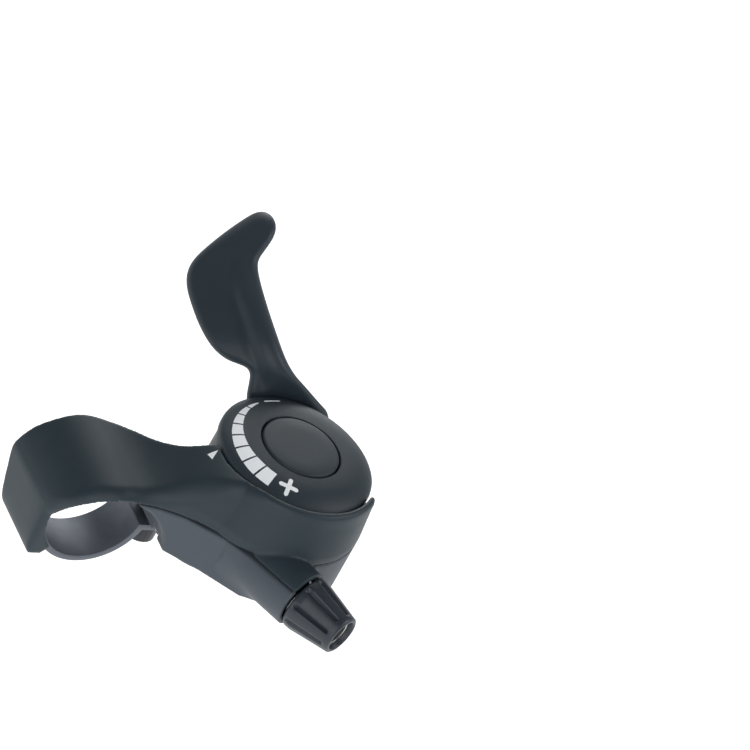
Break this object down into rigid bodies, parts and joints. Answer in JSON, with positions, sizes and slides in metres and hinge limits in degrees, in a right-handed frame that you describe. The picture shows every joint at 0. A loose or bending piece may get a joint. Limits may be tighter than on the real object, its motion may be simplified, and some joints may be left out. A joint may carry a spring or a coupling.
{
  "type": "bicycle thumb shifter",
  "caption": "Top-mount thumb shifter: a dished friction lever turns a round dial and cable drum in a moulded body with a handlebar clamp and a barrel adjuster.",
  "frame": {"origin": "centre of the 22.2 mm handlebar bore, halfway along the clamp band", "axes": "+X along the handlebar on the lever's side, +Z along the lever's pivot towards the dial, +Y away from the dial"},
  "size_m": [0.0912, 0.0728, 0.0577],
  "materials": {
    "cover_plastic": "fine moulded texture, satin black with a blue-grey cast",
    "lever_plastic": "fine moulded texture, satin black with a blue-grey cast",
    "dial_plastic": "satin black with a printed white scale",
    "housing_plastic": "matte dark grey",
    "adjuster_plastic": "semi-gloss black",
    "black_steel": "black zinc finish",
    "zinc_steel": "bright zinc plate",
    "brass": "machined",
    "nylon": "natural nylon",
    "fibre": "pressed friction fibre"
  },
  "bodies": {
    "bracket": {"upper_cover": "cover_plastic", "lower_housing": "housing_plastic", "base_plate": "black_steel", "base_screw_1": "zinc_steel", "base_screw_2": "zinc_steel", "base_screw_3": "zinc_steel", "cover_screw": "zinc_steel", "clamp_band": "black_steel", "clamp_bolt": "black_steel", "clamp_washer": "zinc_steel", "clamp_nut": "zinc_steel", "pivot_post": "zinc_steel", "thrust_washer": "nylon", "pivot_bush": "brass", "friction_disc": "fibre", "keyed_washer": "zinc_steel", "wave_spring": "zinc_steel", "pivot_bolt": "zinc_steel", "adjuster_insert": "brass", "adjuster_spring": "zinc_steel"},
    "lever_assembly": {"lever": "lever_plastic", "dial": "dial_plastic", "center_cap": "dial_plastic", "cable_drum": "housing_plastic", "drive_pin_1": "zinc_steel", "drive_pin_2": "zinc_steel"},
    "casing_seat": {"casing_seat": "zinc_steel"},
    "adjuster_knob": {"barrel_adjuster": "adjuster_plastic", "adjuster_stem": "black_steel"}
  },
  "joints": [
    {"name": "lever_pivot", "type": "hinge", "parent": "bracket", "child": "lever_assembly", "pos_m": [-0.009, -0.0359, 0.0238], "axis": [0, 0, 1], "range_deg": [-43, 68]},
    {"name": "adjuster_slide", "type": "slide", "parent": "bracket", "child": "casing_seat", "axis": [-0.8729, -0.4879, 0], "range_m": [0, 0.0032]},
    {"name": "barrel_turn", "type": "hinge", "parent": "casing_seat", "child": "adjuster_knob", "pos_m": [-0.03578, -0.03368, 0.0086], "axis": [-0.8729, -0.4879, 0], "range_deg": [0, 1440]}
  ],
  "couplings": [
    {"joint": "barrel_turn", "follows": "adjuster_slide", "rad_per_m": 7854}
  ]
}
